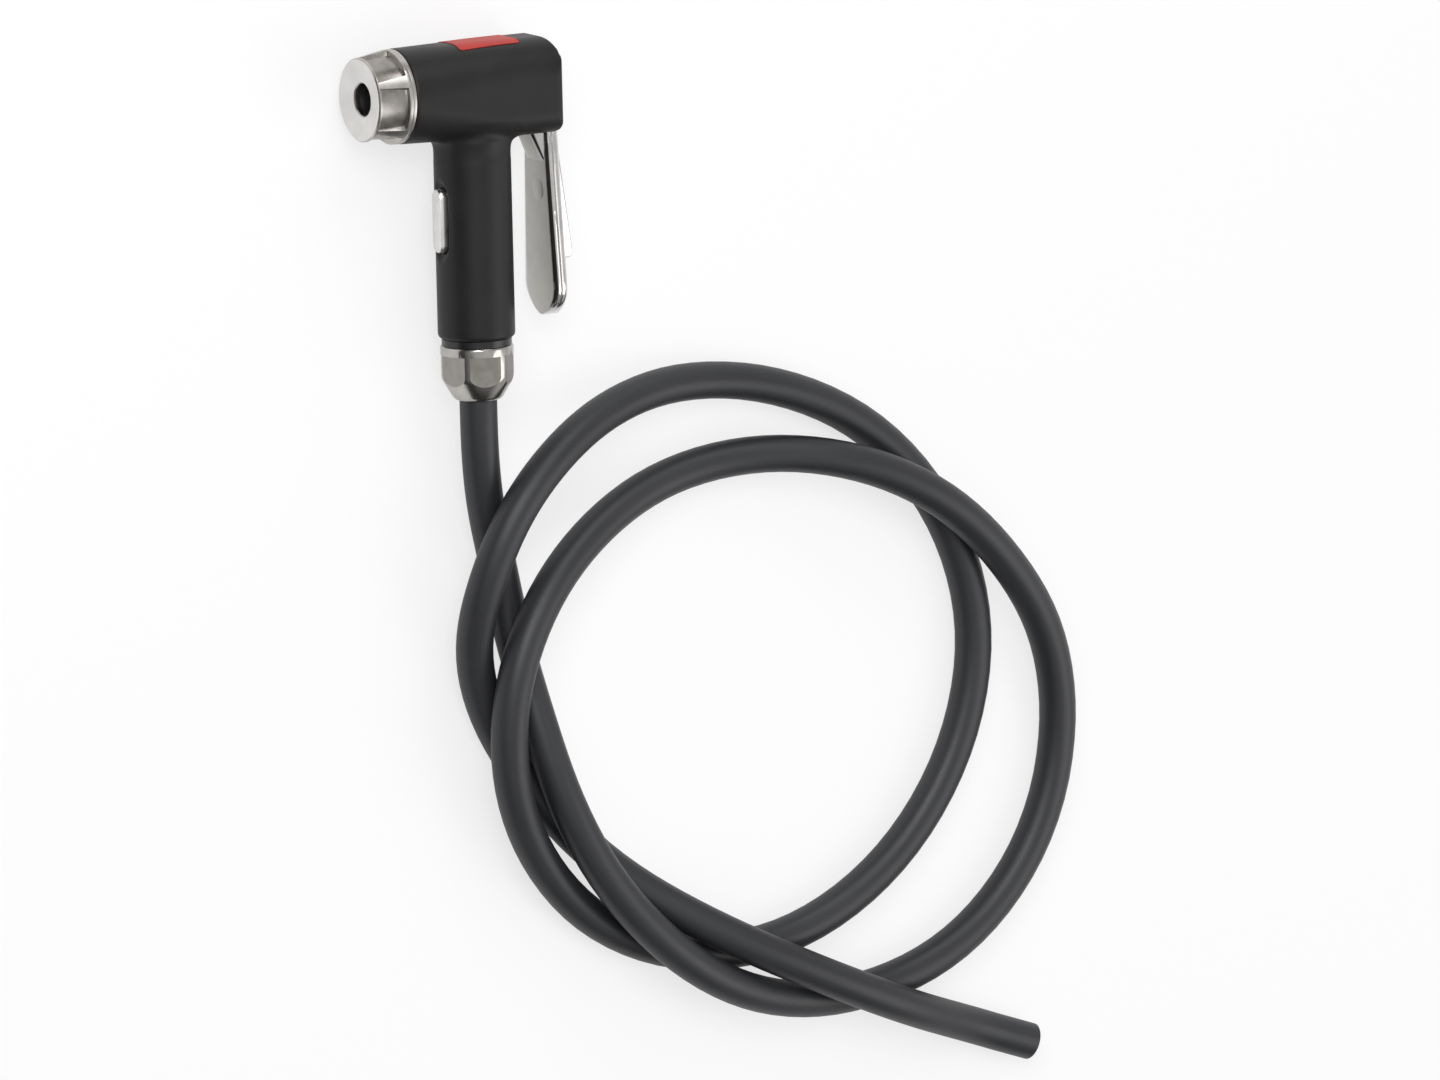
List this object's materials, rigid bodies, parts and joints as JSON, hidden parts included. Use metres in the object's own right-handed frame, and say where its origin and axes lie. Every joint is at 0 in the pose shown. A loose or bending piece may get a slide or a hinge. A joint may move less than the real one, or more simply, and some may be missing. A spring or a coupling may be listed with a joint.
{
  "type": "lever-lock inflator head with hose",
  "caption": "Tyre inflator head: black barrel on a grip, screw cap with valve port, locking lever, release button, hex hose nut and a coiled rubber hose with a bare cut end.",
  "frame": {"origin": "centre of the valve port's mouth, in the front face of the screw cap", "axes": "+X back along the barrel axis, +Y up across the barrel away from the grip, +Z up from the surface that the part lies on"},
  "size_m": [0.2198, 0.2951, 0.0252],
  "materials": {
    "cap_metal": "satin nickel plate",
    "lever_metal": "polished die casting",
    "nut_metal": "satin nickel plate, milled flats",
    "button_metal": "bright satin",
    "housing_black": "satin black powder coat",
    "collar_black": "smooth moulded",
    "seal_rubber": "matt moulded",
    "hose_rubber": "smooth extruded",
    "spring_steel": "drawn wire",
    "brass": "turned",
    "steel": "ground",
    "ferrule_plastic": "moulded",
    "pad_plastic": "moulded",
    "label_red": "printed foil"
  },
  "bodies": {
    "head": {"housing": "housing_black", "valve_seal": "seal_rubber", "spring_seat": "steel", "plunger_spring": "spring_steel", "lever_pin": "steel", "release_spring": "spring_steel", "release_seat": "brass", "hose_fitting": "brass", "fitting_o_ring": "seal_rubber", "grip_collar": "collar_black", "hose_nut": "nut_metal", "hose_ferrule": "ferrule_plastic", "top_label": "label_red", "hose": "hose_rubber", "hose_cut_end": "hose_rubber"},
    "lever": {"lever": "lever_metal"},
    "plunger": {"plunger": "brass", "plunger_o_rings": "seal_rubber", "seal_washer": "steel", "depressor_pin": "brass", "thrust_pad": "pad_plastic"},
    "cap_washer": {"front_washer": "steel"},
    "screw_cap": {"front_cap": "cap_metal"},
    "release": {"release_button": "button_metal", "release_stem": "steel", "release_seal": "seal_rubber"}
  },
  "joints": [
    {"name": "lever_flip", "type": "hinge", "parent": "head", "child": "lever", "pos_m": [0.049, 0.0025, 0], "axis": [0, 0, 1], "range_deg": [0, 90]},
    {"name": "plunger_slide", "type": "slide", "parent": "head", "child": "plunger", "axis": [-1, 0, 0], "range_m": [0, 0.0026], "deforming": ["valve_seal", "plunger_spring"]},
    {"name": "washer_slide", "type": "slide", "parent": "head", "child": "cap_washer", "axis": [-1, 0, 0], "range_m": [0, 0.0015]},
    {"name": "cap_turn", "type": "hinge", "parent": "cap_washer", "child": "screw_cap", "pos_m": [0, 0, 0], "axis": [-1, 0, 0], "range_deg": [0, 360]},
    {"name": "release_press", "type": "slide", "parent": "head", "child": "release", "axis": [1, 0, 0], "range_m": [0, 0.0015], "stiffness_N_per_m": 300, "springref_m": -0.001, "deforming": ["release_spring"]}
  ],
  "couplings": [
    {"joint": "lever_flip", "follows": "plunger_slide", "rad_per_m": 604.15},
    {"joint": "cap_turn", "follows": "washer_slide", "rad_per_m": 4188.7}
  ]
}
